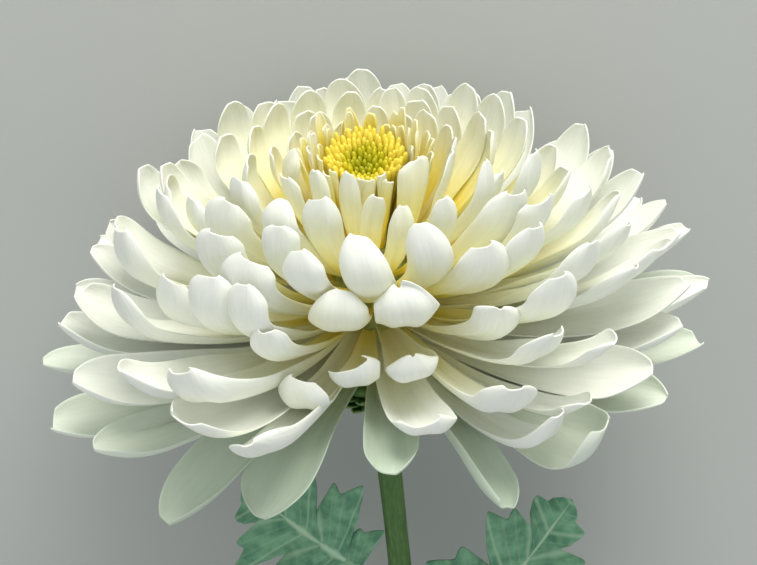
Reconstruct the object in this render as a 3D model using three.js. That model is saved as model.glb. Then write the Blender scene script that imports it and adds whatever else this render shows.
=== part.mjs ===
import * as THREE from 'three';
import { mergeVertices } from 'three/addons/utils/BufferGeometryUtils.js';

// A white chrysanthemum, picked with its stem and laid on its side. Millimetres, +Z up.
// The bloom faces -Y, the cut end of the stem points to +Y, and the petals underneath are pressed flat.
//
// Pieces are shaped in the flower's own frame: +Y runs up its axis from the stem to the bloom, +Z is the
// side that lies uppermost, and an azimuth turns from +Z towards +X. Y is zero in the middle of the head.

// How the flower lies
const AXIS_RISE = 15;           // degrees that the axis climbs from the cut end to the bloom
const HEAD_HEIGHT = 50;         // middle of the head above the level that the petals sink towards
const PRESS_BELOW = 22;         // petals start to bend under this height
const PRESS_LIMIT = -4;         // height that no petal can reach, however long it is
const SPLAY_CENTRE = -15;       // pressed petals spread away from this place along Y
const SPLAY_SOFTNESS = 25;
const SPLAY_SHARE = 0.6;        // share of the lost height that turns into spread

// The domed core that carries the florets
const CORE_RADIUS = 8;
const CORE_MIDDLE = -4;
const CORE_TOP = 22;
const CORE_POWER = 2.6;         // how square the dome's shoulders are
const GAP = 0.4;                // air between touching pieces

const TURNED_SIDES = 18;

// The disc of unopened florets: a shallow bowl that rises towards the back
const DISC_RADIUS = 7.8;
const DISC_FOOT = 22;
const DISC_HEIGHT = 37.4;
const DISC_TILT = 1.7;

// Petals
const PETAL_THICKNESS = 0.8;
const PETAL_COLUMNS = 2;
const PETAL_ROWS = 6;
const WHORL_NOTCH = 0.42;       // part of the length over which joined petals touch side by side
const WHORL_EDGE = 0.86;        // part of the length that a joined petal's sides reach
const FIRST_HEIGHT = -5;        // height on the core of the lowest whorl
const WHORL_STEP = 2.5;         // each whorl sits this much higher on the core
const BASE_WIDTH = 0.3;         // width where the petal is attached, as part of its widest
const WIDEST = 0.62;            // part of the length where it is widest
const SIDE_SHARE = 0.75;        // part of the room up to the next petal that a petal may fill
const BACK_FALL = 0.025;        // how far tips behind the disc are lowered for each mm inside DOME_EDGE
const DOME_EDGE = 56;
const QUILLS = 24;

// Each whorl: where its tips are (distance from the axis, height), its petals' width, how much steeper the
// petal ends than it runs (in degrees, less than zero where it droops), how far its sides are raised and how
// far its tip curls in. A petal is its azimuth in degrees, and a reach and a height of its own where it has
// them. In a joined whorl, rows is how finely the petals' length is divided.
const SINGLE_WHORLS = [
  {
    name: 'drooping_petal', reach: 56, height: -18, width: 12.5, turn: -14, cup: 1.6, curl: 0,
    petals: [[1, 44.5, -5], [27, 51, -13.5], [125], [149], [172], [195], [218], [240, 56, -19], [315, 60, -13],
      [334, 51, -12]],
  },
  {
    name: 'outer_petal', reach: 66, height: -6, width: 13, turn: 5, cup: 1.8, curl: 1,
    petals: [[50, 57, -2], [66, 60, -3], [84, 63, -4], [108, 67], [130], [152], [173], [193], [212],
      [232, 66, -5], [251, 64], [265, 65.5], [284, 65.5], [298, 61]],
  },
  {
    name: 'rim_petal', reach: 66, height: 3, width: 13, turn: 12, cup: 1.8, curl: 1.5,
    petals: [[37, 55, 4.5], [60, 58, 3.5], [75, 60, 6], [92, 65], [107, 65, 8], [122, 64], [138], [157],
      [176], [195], [214], [234], [252, 62], [270, 61, 6], [288, 61, 5]],
  },
];
const JOINED_WHORLS = [
  {
    name: 'petal_whorl_4', reach: 62, height: 12, width: 12.5, turn: 14, rows: 3, cup: 1.2, curl: 2,
    petals: [[11, 42, 5.5], [41, 57, 8], [48, 58, 17], [80, 61], [98, 60], [112], [120, 62.6, 8], [141, 60],
      [157], [173], [189], [205], [222, 64], [244, 57, 13.5], [256, 56, 13.7], [269, 57, 12],
      [308, 59.5], [323, 61, 13], [338, 60, 10]],
  },
  {
    name: 'petal_whorl_5', reach: 56, height: 21, width: 12, turn: 16, rows: 3, cup: 1.2, curl: 2,
    petals: [[11, 34, 14], [29, 52, 13], [40, 52, 21], [69, 53, 22], [80, 57, 21.5], [103, 54.5, 24.5],
      [119, 54], [131, 56, 20], [143, 54, 24], [165], [184], [202, 55], [216, 56], [232, 51, 18],
      [257, 50, 21.6], [293, 52], [323, 58, 22], [338, 37, 11.5], [352, 33.5, 14.5]],
  },
  {
    name: 'petal_whorl_6', reach: 49, height: 29, width: 11.5, turn: 16, rows: 3, cup: 1.1, curl: 2,
    petals: [[34, 40, 22], [46, 48], [61, 47], [75, 50], [92, 48, 25], [108], [121, 49, 29.5],
      [144, 49, 28.5], [157, 48], [170], [183, 50], [197, 48, 29.5], [211], [224, 48.5, 26],
      [234, 45, 25.5], [246, 48.5, 27.5], [280, 47], [303, 44, 28], [315, 43], [325, 43], [334, 43, 24]],
  },
  {
    name: 'petal_whorl_7', reach: 41, height: 35, width: 10.5, turn: 16, rows: 3, cup: 1, curl: 2,
    petals: [[9, 33, 29], [50, 40], [62, 37, 36.5], [78, 42], [98, 39, 30.5], [116, 41, 28], [130, 39],
      [148, 41, 33.5], [162, 38], [177, 38], [192, 37], [206, 38], [219, 41, 34.5], [246, 43, 29.5],
      [263, 38, 33], [276, 39], [310, 37], [323, 38], [351, 33, 28.5]],
  },
  {
    name: 'petal_whorl_8', reach: 33, height: 39, width: 9.5, turn: 16, rows: 3, cup: 0.9, curl: 1.5,
    petals: [[17, 30, 39], [38, 36, 34.5], [55, 32], [80, 32], [97, 33.5, 33], [112], [127], [142],
      [157], [171], [186], [201], [217], [237, 33, 34.5], [279, 33, 33.5], [296, 29, 37.5],
      [328, 32, 39.5], [339, 36, 38], [359, 31]],
  },
  {
    name: 'petal_whorl_9', reach: 25, height: 41, width: 8, turn: 16, rows: 2, cup: 0.8, curl: 1,
    petals: [[15, 20, 37.7], [35], [60], [77, 26, 36.5], [100], [119], [136], [153], [170], [187], [205], [224],
      [243, 24.5, 38.8], [260, 22, 38.4], [296], [319, 24, 40], [336, 23, 42]],
  },
  {
    name: 'petal_whorl_10', reach: 18, height: 41, width: 6, turn: 14, rows: 2, cup: 0.6, curl: 0.6,
    petals: [[2, 17, 39], [44, 13, 41.5], [72], [93], [113], [133], [153], [173], [193], [213], [234],
      [256], [283, 13.5, 42.5], [303, 17], [322, 15, 42], [345, 12.5, 41.5]],
  },
  {
    name: 'petal_whorl_11', reach: 9.6, height: 38, width: 3, turn: 8, rows: 2, cup: 0.4, curl: 0.4,
    petals: Array.from({ length: QUILLS }, (_, i) => [360 / QUILLS * i]),
  },
];

// Stem: its radius at points from the flared neck under the bloom to the cut end, and how it bows
const STEM_SIDES = 12;
const STEM_PROFILE = [
  [4.6, -11.6], [3.2, -15], [2.3, -24], [2.1, -45], [2.2, -80], [2.4, -120], [2.6, -160], [2.7, -174],
];
const STEM_BOW = 2.5;           // how far the middle of the stem stands off the straight line

// Leaves: height on the stem, side, how far the blade reaches out, how far it climbs towards the bloom, how
// far it hangs, and its width
const LEAVES = [
  { name: 'leaf_upper', joint: -60, side: -1, out: 28, climb: 21, hang: 10, width: 36 },
  { name: 'leaf_middle', joint: -86, side: 1, out: 32, climb: 38, hang: 10, width: 36 },
  { name: 'leaf_lower', joint: -122, side: -1, out: 55, climb: 30, hang: 24.4, width: 42 },
];
const LEAF_THICKNESS = 0.9;
const LEAF_START = 3;           // from the stem's middle line
const LEAF_ARCH = 3;            // how far a leaf rises before it hangs
const LEAF_ROWS = 18;
const LEAF_COLUMNS = 4;
const PETIOLE_SHARE = 0.2;      // part of the leaf's length that is stalk
const PETIOLE_WIDTH = 2.2;
const LEAF_LOBES = 3.5;
const LEAF_LOBE_DEPTH = 0.36;
const LEAF_FOLD = 3;            // how far the blade's sides rise from its midrib

const white = new THREE.MeshStandardMaterial({ color: 0xf1f2e6, roughness: 0.55, metalness: 0 });
const innerWhite = new THREE.MeshStandardMaterial({ color: 0xf4edc4, roughness: 0.55, metalness: 0 });
const discYellow = new THREE.MeshStandardMaterial({ color: 0xc9c21c, roughness: 0.6, metalness: 0 });
const coreGreen = new THREE.MeshStandardMaterial({ color: 0xc3cc8a, roughness: 0.7, metalness: 0 });
const stemGreen = new THREE.MeshStandardMaterial({ color: 0x3f6b34, roughness: 0.65, metalness: 0 });
const leafGreen = new THREE.MeshStandardMaterial({ color: 0x4f8a5b, roughness: 0.7, metalness: 0 });

const model = new THREE.Group();
const flower = new THREE.Group();
flower.rotation.set(Math.PI - THREE.MathUtils.degToRad(AXIS_RISE), Math.PI, 0);
flower.position.set(0, 0, HEAD_HEIGHT);
model.add(flower);
flower.updateMatrixWorld(true);
const flowerInverse = flower.matrixWorld.clone().invert();

function addPiece(name, geometry, material) {
  const piece = new THREE.Mesh(geometry, material);
  piece.name = name;
  flower.add(piece);
}

// Keeps only positions, joins the shared corners and turns the faces outwards
function closeSolid(geometry) {
  geometry.deleteAttribute('normal');
  geometry.deleteAttribute('uv');
  const solid = mergeVertices(geometry, 1e-4);
  const corners = [new THREE.Vector3(), new THREE.Vector3(), new THREE.Vector3()];
  let volume = 0;
  for (let i = 0; i < solid.index.count; i += 3) {
    corners.forEach((corner, j) => {
      corner.fromBufferAttribute(solid.attributes.position, solid.index.getX(i + j));
    });
    volume += corners[0].dot(corners[1].clone().cross(corners[2]));
  }
  if (volume < 0) solid.index.array.reverse();
  solid.computeVertexNormals();
  return solid;
}

// Moves every corner of a geometry to the place that shape(corner, index) gives
function reshape(geometry, shape) {
  const positions = geometry.attributes.position;
  const corner = new THREE.Vector3();
  for (let i = 0; i < positions.count; i += 1) {
    corner.fromBufferAttribute(positions, i);
    const moved = shape(corner, i);
    positions.setXYZ(i, moved.x, moved.y, moved.z);
  }
  return closeSolid(geometry);
}

function coreRadius(height) {
  const level = Math.abs((height - CORE_MIDDLE) / (CORE_TOP - CORE_MIDDLE));
  return CORE_RADIUS * Math.max(0, 1 - level ** CORE_POWER) ** (1 / CORE_POWER);
}

// Bends what lies below PRESS_BELOW up off the surface and spreads it along Y
function press(point) {
  const lying = point.clone().applyMatrix4(flower.matrixWorld);
  if (lying.z < PRESS_BELOW) {
    const depth = PRESS_BELOW - PRESS_LIMIT;
    const height = PRESS_LIMIT + depth * Math.exp((lying.z - PRESS_BELOW) / depth);
    const spread = Math.tanh((lying.y - SPLAY_CENTRE) / SPLAY_SOFTNESS);
    lying.y += SPLAY_SHARE * (height - lying.z) * spread;
    lying.z = height;
  }
  return lying.applyMatrix4(flowerInverse);
}

// Height of a tip that has none of its own: on the dome that the joined whorls make, or round the disc
function tipHeight(whorl, azimuth, reach) {
  const behind = 1 - Math.cos(THREE.MathUtils.degToRad(azimuth));
  if (whorl.name === JOINED_WHORLS.at(-1).name) return whorl.height + DISC_TILT * behind;
  const dome = [SINGLE_WHORLS.at(-1), ...JOINED_WHORLS];
  const outer = dome.findLastIndex((each) => each.reach >= reach);
  const [far, near] = dome.slice(outer, outer + 2);
  const share = (far.reach - reach) / (far.reach - near.reach);
  return far.height + (near.height - far.height) * share - BACK_FALL * (DOME_EDGE - reach) * behind;
}

// The line down the middle of a petal, in a plane through the axis: x is the distance from the axis
function petalLine(whorl, level, reach, height) {
  const foot = new THREE.Vector2(coreRadius(level) + GAP, level);
  const tip = new THREE.Vector2(reach, height);
  const run = tip.clone().sub(foot);
  const start = run.angle() - THREE.MathUtils.degToRad(Math.abs(whorl.turn));
  const end = run.angle() + THREE.MathUtils.degToRad(whorl.turn);
  const handle = run.length() * 0.38;
  const rise = whorl.turn < 0 ? run.angle() + THREE.MathUtils.degToRad(-whorl.turn) : start;
  return new THREE.CubicBezierCurve(
    foot,
    new THREE.Vector2(foot.x + handle * Math.cos(rise), foot.y + handle * Math.sin(rise)),
    new THREE.Vector2(tip.x - handle * Math.cos(end), tip.y - handle * Math.sin(end)),
    tip,
  );
}

function petalHalfWidth(whorl, along) {
  const swell = Math.sin((Math.PI / 2) * Math.min(1, along / WIDEST));
  const narrowing = Math.max(0, (along - WIDEST) / (1.22 - WIDEST));
  return (whorl.width / 2) * (BASE_WIDTH + (1 - BASE_WIDTH) * swell) * Math.sqrt(1 - narrowing ** 2);
}

// A point of a petal: across runs from -1 to 1, along from 0 at the foot to 1, and layer is the distance
// from the middle of its thickness. Room is half the angle to the nearest petal of the same whorl.
function petalPoint(whorl, line, azimuth, room, across, along, layer) {
  const place = line.getPoint(along);
  const heading = line.getTangent(along);
  const cup = whorl.cup * across ** 2 * Math.min(1, along / 0.4);
  const curl = whorl.curl * Math.max(0, (along - 0.7) / 0.3) ** 2;
  const lift = cup + curl + layer;
  const distance = place.x - heading.y * lift;
  const widest = SIDE_SHARE * place.x * Math.tan(room);
  const aside = across * Math.min(petalHalfWidth(whorl, along), widest);
  return press(new THREE.Vector3(
    distance * Math.sin(azimuth) + aside * Math.cos(azimuth),
    place.y + heading.x * lift,
    distance * Math.cos(azimuth) - aside * Math.sin(azimuth),
  ));
}

// Half the angle from each azimuth to its nearest neighbour round the whorl
function roomBeside(azimuths) {
  const count = azimuths.length;
  return azimuths.map((azimuth, i) => {
    const before = (azimuth - azimuths[(i + count - 1) % count] + 360) % 360;
    const after = (azimuths[(i + 1) % count] - azimuth + 360) % 360;
    return THREE.MathUtils.degToRad(Math.min(before, after, 40) / 2);
  });
}

function addSingleWhorl(whorl, level) {
  const rooms = roomBeside(whorl.petals.map(([azimuth]) => azimuth));
  whorl.petals.forEach(([azimuth, reach = whorl.reach, height = whorl.height], i) => {
    const line = petalLine(whorl, level, reach, height);
    const angle = THREE.MathUtils.degToRad(azimuth);
    const slab = new THREE.BoxGeometry(2, 1, PETAL_THICKNESS, PETAL_COLUMNS, PETAL_ROWS, 1);
    const petal = reshape(slab, (corner) => {
      const along = (corner.y + 0.5) * (1 - 0.1 * corner.x ** 2);
      return petalPoint(whorl, line, angle, rooms[i], corner.x, along, corner.z);
    });
    addPiece(`${whorl.name}_${String(i + 1).padStart(2, '0')}`, petal, white);
  });
}

// Splits the squares of a ring's upper layer along the same diagonals as those of its lower layer, so that the
// two never cross where a petal is thin and twisted
function alignLayers(ring, columns, rows) {
  const { index } = ring;
  const around = 2 * rows + 2;
  for (let column = 0; column < columns; column += 1) {
    for (let row = rows + 1; row <= 2 * rows; row += 1) {
      const start = 6 * (column * around + row);
      const [a, b, d, c] = [0, 1, 2, 3].map((i) => index.getX(start + i));
      [a, b, c, a, c, d].forEach((corner, i) => index.setX(start + i, corner));
    }
  }
}

// A whorl whose petals are joined side by side near the core: a ring of four columns a petal, one at the
// notch before it, one on each of its sides and one down its middle
function addJoinedWhorl(whorl, level) {
  const azimuths = whorl.petals.map(([azimuth]) => azimuth);
  const rooms = roomBeside(azimuths);
  const lineAt = (azimuth, reach, height) => (
    petalLine(whorl, level, reach, height ?? tipHeight(whorl, azimuth, reach))
  );
  const lines = whorl.petals.map(([azimuth, reach = whorl.reach, height]) => lineAt(azimuth, reach, height));
  const notches = azimuths.map((azimuth, i) => {
    const previous = azimuths[(i + azimuths.length - 1) % azimuths.length];
    return azimuth - ((azimuth - previous + 360) % 360) / 2;
  });
  const notchLines = notches.map((notch) => lineAt(notch, whorl.reach));
  const profile = [];
  for (let row = 0; row <= whorl.rows; row += 1) {
    profile.push(new THREE.Vector2(row / whorl.rows, -PETAL_THICKNESS / 2));
  }
  for (let row = whorl.rows; row >= 0; row -= 1) {
    profile.push(new THREE.Vector2(row / whorl.rows, PETAL_THICKNESS / 2));
  }
  profile.push(profile[0].clone());
  const columns = 4 * azimuths.length;
  const ring = new THREE.LatheGeometry(profile, columns);
  alignLayers(ring, columns, whorl.rows);
  const joined = reshape(ring, (corner, index) => {
    const column = Math.floor(index / profile.length) % columns;
    const { x: share, y: layer } = profile[index % profile.length];
    const petal = Math.floor(column / 4);
    if (column % 4 === 0) {
      const angle = THREE.MathUtils.degToRad(notches[petal]);
      return petalPoint(whorl, notchLines[petal], angle, 1, 0, WHORL_NOTCH * share, layer);
    }
    const across = (column % 4) - 2;
    const along = share * (across === 0 ? 1 : WHORL_EDGE);
    const angle = THREE.MathUtils.degToRad(azimuths[petal]);
    return petalPoint(whorl, lines[petal], angle, rooms[petal], across, along, layer);
  });
  addPiece(whorl.name, joined, innerWhite);
}

function addCore() {
  const profile = [new THREE.Vector2(0, -9.6), new THREE.Vector2(5, -9.2), new THREE.Vector2(7.5, -7.4)];
  for (let height = CORE_MIDDLE - 1.5; height < CORE_TOP; height += 2.75) {
    profile.push(new THREE.Vector2(coreRadius(height), height));
  }
  profile.push(new THREE.Vector2(0, CORE_TOP));
  addPiece('receptacle', closeSolid(new THREE.LatheGeometry(profile, TURNED_SIDES)), coreGreen);
}

function addBractCup() {
  const profile = [
    [0, -11.2], [0, -10], [5, -9.7], [8.5, -8], [10.5, -7], [12.6, -8.4], [12.3, -9.5], [9.5, -9.6],
    [6, -11.2], [0, -11.2],
  ].map(([radius, height]) => new THREE.Vector2(radius, height));
  addPiece('bract_cup', closeSolid(new THREE.LatheGeometry(profile, TURNED_SIDES)), stemGreen);
}

function addDiscFlorets() {
  const profile = [
    [0, DISC_FOOT + 0.4], [2.4, DISC_FOOT + 0.2], [4.2, 28], [6.2, 33], [DISC_RADIUS, DISC_HEIGHT - 0.8],
    [DISC_RADIUS - 0.6, DISC_HEIGHT], [4, DISC_HEIGHT - 0.7], [0, DISC_HEIGHT - 1.1],
  ].map(([radius, height]) => new THREE.Vector2(radius, height));
  const disc = reshape(new THREE.LatheGeometry(profile, TURNED_SIDES), (corner) => {
    const behind = (Math.hypot(corner.x, corner.z) - corner.z) / DISC_RADIUS;
    const share = (corner.y - DISC_FOOT) / (DISC_HEIGHT - DISC_FOOT);
    return new THREE.Vector3(corner.x, corner.y + DISC_TILT * behind * share, corner.z);
  });
  addPiece('disc_florets', disc, discYellow);
}

// How far the stem's middle line stands off the flower's axis at a height
function stemOffset(height) {
  const top = STEM_PROFILE[0][1];
  const end = STEM_PROFILE[STEM_PROFILE.length - 1][1];
  const share = (height - top) / (end - top);
  return STEM_BOW * Math.sin(Math.PI * share);
}

function addStem() {
  const outline = STEM_PROFILE.map(([radius, height]) => new THREE.Vector2(radius, height));
  outline.unshift(new THREE.Vector2(0, STEM_PROFILE[0][1]));
  outline.push(new THREE.Vector2(0, STEM_PROFILE[STEM_PROFILE.length - 1][1]));
  const stem = reshape(new THREE.LatheGeometry(outline, STEM_SIDES), (corner) => {
    return new THREE.Vector3(corner.x + stemOffset(corner.y), corner.y, corner.z);
  });
  addPiece('stem', stem, stemGreen);
}

// Half the blade's width at a part of its length, with rounded lobes
function leafHalfWidth(leaf, share) {
  if (share < PETIOLE_SHARE) return PETIOLE_WIDTH / 2;
  const blade = (share - PETIOLE_SHARE) / (1 - PETIOLE_SHARE);
  const outline = Math.sin(Math.PI * blade ** 0.8) ** 0.75;
  const lobe = 1 - LEAF_LOBE_DEPTH * (0.5 + 0.5 * Math.cos(2 * Math.PI * LEAF_LOBES * blade));
  return Math.max(PETIOLE_WIDTH / 2, (leaf.width / 2) * outline * lobe);
}

function addLeaf(leaf) {
  const start = new THREE.Vector3(leaf.side * LEAF_START + stemOffset(leaf.joint), leaf.joint, 0);
  const midrib = new THREE.QuadraticBezierCurve3(
    start,
    start.clone().add(new THREE.Vector3(leaf.side * leaf.out * 0.5, leaf.climb * 0.6, LEAF_ARCH)),
    start.clone().add(new THREE.Vector3(leaf.side * leaf.out, leaf.climb, -leaf.hang)),
  );
  const up = new THREE.Vector3(0, 0, 1);
  const slab = new THREE.BoxGeometry(2, 1, 1, LEAF_COLUMNS, LEAF_ROWS, 1);
  const blade = reshape(slab, (corner) => {
    const share = corner.y + 0.5;
    const heading = midrib.getTangent(share);
    const aside = heading.clone().cross(up).normalize();
    const normal = aside.clone().cross(heading);
    const thickness = share < PETIOLE_SHARE ? PETIOLE_WIDTH : LEAF_THICKNESS;
    const fold = share < PETIOLE_SHARE ? 0 : LEAF_FOLD * corner.x ** 2;
    return midrib.getPoint(share)
      .addScaledVector(aside, corner.x * leafHalfWidth(leaf, share))
      .addScaledVector(normal, fold + corner.z * thickness);
  });
  addPiece(leaf.name, blade, leafGreen);
}

SINGLE_WHORLS.forEach((whorl, i) => addSingleWhorl(whorl, FIRST_HEIGHT + WHORL_STEP * i));
JOINED_WHORLS.forEach((whorl, i) => {
  addJoinedWhorl(whorl, FIRST_HEIGHT + WHORL_STEP * (i + SINGLE_WHORLS.length));
});
addCore();
addBractCup();
addDiscFlorets();
addStem();
LEAVES.forEach(addLeaf);

// The origin is below the middle of the whole flower, on the surface that it lies on
const box = new THREE.Box3().setFromObject(model, true);
const middle = box.getCenter(new THREE.Vector3());
model.position.set(-middle.x, -middle.y, -box.min.z);

export default model;
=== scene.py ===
"""A white chrysanthemum bloom with its leafy stem, picked and laid on its side.

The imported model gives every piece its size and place. This script gives each piece its surface: petals with
hooded tips, the disc of unopened florets, the bracts under the head, the ribbed stem and the lobed leaves.
"""

import math
import random

import bpy
from mathutils import Matrix, Vector


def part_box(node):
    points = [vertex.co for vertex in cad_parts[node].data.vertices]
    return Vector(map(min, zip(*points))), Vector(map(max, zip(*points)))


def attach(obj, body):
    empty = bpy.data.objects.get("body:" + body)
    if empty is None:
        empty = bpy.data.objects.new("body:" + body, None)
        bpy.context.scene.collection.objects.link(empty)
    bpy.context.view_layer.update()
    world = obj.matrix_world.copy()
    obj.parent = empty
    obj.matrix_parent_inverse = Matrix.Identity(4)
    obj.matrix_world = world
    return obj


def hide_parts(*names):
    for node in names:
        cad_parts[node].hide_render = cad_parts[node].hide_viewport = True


bl_info = {
    "name": "White Chrysanthemum",
    "version": (1, 0, 0),
    "blender": (4, 5, 0),
    "location": "View3D > Sidebar > Chrysanthemum",
    "description": "Builds a cut white chrysanthemum around its packed frame",
    "category": "Object",
}

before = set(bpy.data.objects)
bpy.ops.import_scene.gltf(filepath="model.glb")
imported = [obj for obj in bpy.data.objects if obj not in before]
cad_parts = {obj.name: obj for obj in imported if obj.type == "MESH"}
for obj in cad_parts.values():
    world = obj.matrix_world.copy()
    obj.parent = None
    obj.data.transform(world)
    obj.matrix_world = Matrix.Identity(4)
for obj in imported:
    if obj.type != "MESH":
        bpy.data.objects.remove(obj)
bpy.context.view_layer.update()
BODY = "root"
MM = 0.001

# How the flower lies. Pieces are shaped in the flower's own frame, in millimetres: +Y runs up its axis from
# the stem to the bloom, +Z is the side that lies uppermost, and an azimuth turns from +Z towards +X.
AXIS_RISE = math.radians(15)
HEAD_HEIGHT = 50            # of the middle of the head over the surface
PRESS_BELOW = 22            # petals are pressed where they would hang lower than this over the surface
PRESS_LIMIT = -4            # the height that a pressed point nears and never reaches
SPLAY_CENTRE = -15          # pressed petals spread along the surface, away from here
SPLAY_SOFTNESS = 25         # how far from there they spread three quarters as far as they can
SPLAY_SHARE = 0.6           # how far they spread for each mm that they are raised

# The domed core
CORE_RADIUS = 8
CORE_MIDDLE = -4
CORE_TOP = 22
CORE_POWER = 2.6            # 2 would make it an ellipse, and more makes it squarer
GAP = 0.4                   # between the core and the petals' feet

# Stem: radius and height at points from the neck to the cut end
STEM_PROFILE = [
    (4.6, -11.6), (3.2, -15), (2.3, -24), (2.1, -45), (2.2, -80), (2.4, -120), (2.6, -160), (2.7, -174),
]
STEM_BOW = 2.5
STEM_RINGS = 72
STEM_SIDES = 48
STEM_RIBS = 8
STEM_RIB_DEPTH = 0.07
STEM_SWELLING = 0.6         # how much thicker the stem is where a leaf is attached
SWELLING_LENGTH = 2.2
STEM_BARK = 0.55            # green ring round the pith at the cut end
PITH_DEPTH = 0.25           # how far the pith has shrunk back into the cut end

# Disc of unopened florets: its edge stands higher than its middle, the more so at the back
DISC_RADIUS = 7.8
DISC_HEIGHT = 36.3
DISC_HOLLOW = 1.2
DISC_TILT = 1.7
DISC_EDGE = 10              # the reach of the quills that stand round the disc and rise with it
DISC_FOOT_SHARE = 0.4       # how far out a floret's foot is, as part of how far out its tip is
BUD_SIDES = 8
BUD_PROFILE = [(0.26, 0), (0.28, 0.7), (0.44, 0.85), (0.5, 0.92), (0.38, 0.975), (0.14, 1)]
BUD_CHANCES = {"radius": (-0.15, 0.15), "height": (-0.6, 0.5), "width": (0.85, 1.1)}
BUD_INNER = 0.85            # the width of the middle florets, as part of the usual
BUD_GAIN = 0.25             # and how much of it they gain to the disc's edge
GOLDEN_ANGLE = math.radians(137.508)

# Cup of bracts under the head: the cup's rings, then the rows of bracts from the lowest up. Feet and tips are
# distances from the axis and heights along it, and a belly is how far a bract's middle bows out.
CUP_PROFILE = [(4.4, -11.8), (6.4, -11.4), (9.2, -9.9), (10, -8.8), (9, -8), (4.8, -9.4)]
CUP_SIDES = 32
BRACT_THICKNESS = 0.5
BRACT_GRID = (6, 8)
BRACT_HOLLOW = 0.5          # how high a bract's sides stand over its middle
BRACT_ENDS = 0.75           # its width towards its ends, as part of its width in the middle
BRACT_TIP = 0.97            # how blunt its tip is: 1 would close it to a point
BRACT_POWER = 4             # how squarely it narrows there
BRACT_ROWS = [
    {"count": 12, "start": 0, "foot": (4.2, -12.3), "tip": (10.5, -12.8), "width": 3.2, "belly": -0.9},
    {"count": 14, "start": 0.5, "foot": (5, -12), "tip": (12.2, -11), "width": 3.4, "belly": -1},
    {"count": 16, "start": 0.2, "foot": (6, -11.4), "tip": (13, -8.8), "width": 3.5, "belly": -0.9},
]

# Leaves: each is attached at the joint's height, reaches out to its side, climbs along the stem and hangs
LEAVES = [
    {"name": "leaf_upper", "joint": -60, "side": -1, "out": 29, "climb": 21, "hang": 10, "width": 36},
    {"name": "leaf_middle", "joint": -86, "side": 1, "out": 33, "climb": 38, "hang": 10, "width": 36},
    {"name": "leaf_lower", "joint": -122, "side": -1, "out": 56, "climb": 30, "hang": 24.4, "width": 42},
]
LEAF_START = 1.6            # how far from the stem's middle a stalk starts
LEAF_ARCH = 3               # how high the midrib arches on its way out
LEAF_ARCH_AT = (0.5, 0.6)   # where it does, as parts of its way out and of its climb
LEAF_THICKNESS = 0.45
LEAF_GRID = (12, 96)
LEAF_FOLD = 4               # how high the blade's sides stand over its midrib
LEAF_FOLD_POWER = 1.3       # 1 would make a straight fold, and more a hollow
LEAF_QUILT = 0.5            # how high the blade swells between its veins
LEAF_WAVE = 1.3             # how high its edge waves
LEAF_WAVES = 2.3
WAVE_OFFSET = 7             # the distance between two joints whose leaves wave alike
LEAF_BULGE = 0.02
LEAF_VEIN_SWEEP = 1.6       # how much the side veins run forward
LEAF_VEINS = 8
PETIOLE_SHARE = 0.22        # part of the midrib that is the bare stalk
MIDRIB_RADIUS = 1.1
MIDRIB_TAPER = 0.8
MIDRIB_SIDES = 10
MIDRIB_RINGS = 26
MIDRIB_SHARE = 0.93
MIDRIB_SINK = 0.5           # how far it lies under the blade

# Half a leaf's outline, as parts of the blade's length and of half its width: four toothed lobes with bays
# between them. The fourth point and every sixth one after it are the tips of lobes.
LEAF_OUTLINE = [
    (0, 0.03), (0.03, 0.08), (0.04, 0.3), (0.06, 0.62),
    (0.15, 0.4), (0.2, 0.44), (0.22, 0.18), (0.25, 0.5), (0.28, 0.7), (0.36, 1.06),
    (0.43, 0.72), (0.51, 0.78), (0.49, 0.22), (0.55, 0.46), (0.6, 0.62), (0.71, 0.86),
    (0.73, 0.54), (0.8, 0.54), (0.76, 0.16), (0.8, 0.28), (0.84, 0.34), (0.91, 0.38),
    (0.92, 0.2), (0.96, 0.16), (1, 0),
]

# Petals: where their whorls are attached on the core, and the outline and section of a single one
FIRST_HEIGHT = -5
WHORL_STEP = 2.5
BASE_WIDTH = 0.4            # a petal's width at its foot, as part of its greatest width
WIDEST = 0.82               # part of its length where a round-tipped petal is widest
POINTED_SHIFT = 0.25        # how much nearer its foot a pointed one is widest
TIP_POWER = 2.2             # how squarely a tip narrows
POINTED_POWER = 0.35        # how much straighter a pointed one does
TIP_END = 1.001             # where the outline closes, just past the last row
FLOOR_SHARE = 0.22          # part of the half width that is flat, before the side rolls up
FOOT_ROLL = 1.1             # how far the sides roll up at the foot, as part of the petal's cup,
MIDDLE_ROLL = 0.25          # how much less far in the middle,
TIP_ROLL = 0.15             # and how much further again at the tip
TWIST_END = 0.6             # part of a petal's length that its twist takes
SIDE_SHARE = 1.15           # how much of the room between its neighbours a petal may fill
LEAST_HALF = 0.5
WIDEST_ROOM = 40            # degrees between neighbours, past which a petal takes no more room
BEND_SHARE = 0.38           # how far the bend at either end of a petal reaches along it
NOTCH_WIDTH = 0.2           # of the notch in its tip, as part of its half width
NOTCH_START = 0.85
FOLD_AT = 0.4               # where the two long folds run, as part of its half width
FOLD_WIDTH = 0.16
BACK_FALL = 0.025           # how far a tip is lowered for each mm inside DOME_EDGE: twice this at the back,
DOME_EDGE = 56              # and not at all in front
PETAL_GRID = (10, 18)
QUILL_GRID = (6, 10)
ROW_CROWDING = 2            # how much closer the rows lie near the tip
PETAL_SPAN = 0.012          # of a usual petal over its hollow, in m
LINE_STEPS = 48
PALING = 1.5                # how much shorter the yellow feet are in front, and longer at the back, in mm
# Painted shade: a tone multiplies the petals' colour, lightly for the outer petals in the bloom's shade and
# deeper for the drooping ones underneath it
WHITE, SHADED, DEEP_SHADE = "#ffffff", "#e9efe8", "#c9d5ca"
PETAL_TONES = {WHITE: "white_ray_floret", SHADED: "shaded_ray_floret", DEEP_SHADE: "deep_shade_ray_floret"}

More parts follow.
